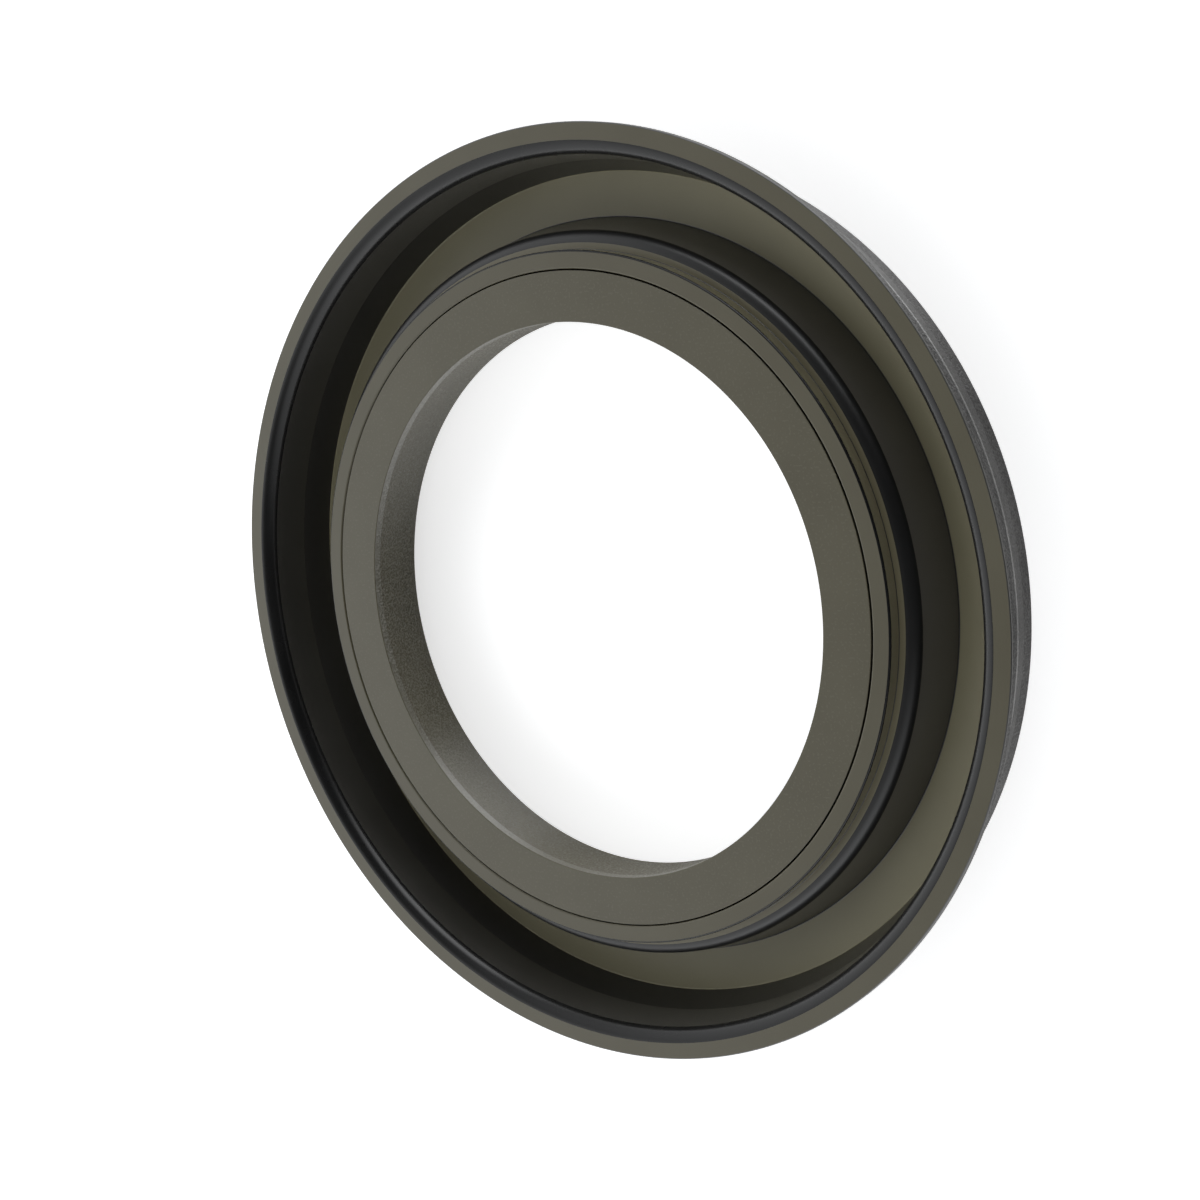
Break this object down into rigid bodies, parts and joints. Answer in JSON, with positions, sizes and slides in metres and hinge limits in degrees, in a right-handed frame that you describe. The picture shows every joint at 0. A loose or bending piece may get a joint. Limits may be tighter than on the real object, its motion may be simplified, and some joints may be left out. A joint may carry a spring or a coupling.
{
  "type": "shaft seal",
  "caption": "Collared shaft seal: a steel case with an open channel and a press-fit rim, and a plain sealing ring pressed into its hub.",
  "frame": {"origin": "centre of the flat back face, on the shaft's axis", "axes": "+Z along the shaft's axis, from the back face to the collared open front"},
  "size_m": [0.075, 0.075, 0.008],
  "materials": {
    "phosphated_steel": "satin dark olive-grey phosphate coating on turned steel",
    "filled_ptfe": "smooth satin dark olive-grey filled PTFE"
  },
  "bodies": {
    "root": {"case": "phosphated_steel", "sealing_ring": "filled_ptfe"}
  },
  "joints": []
}
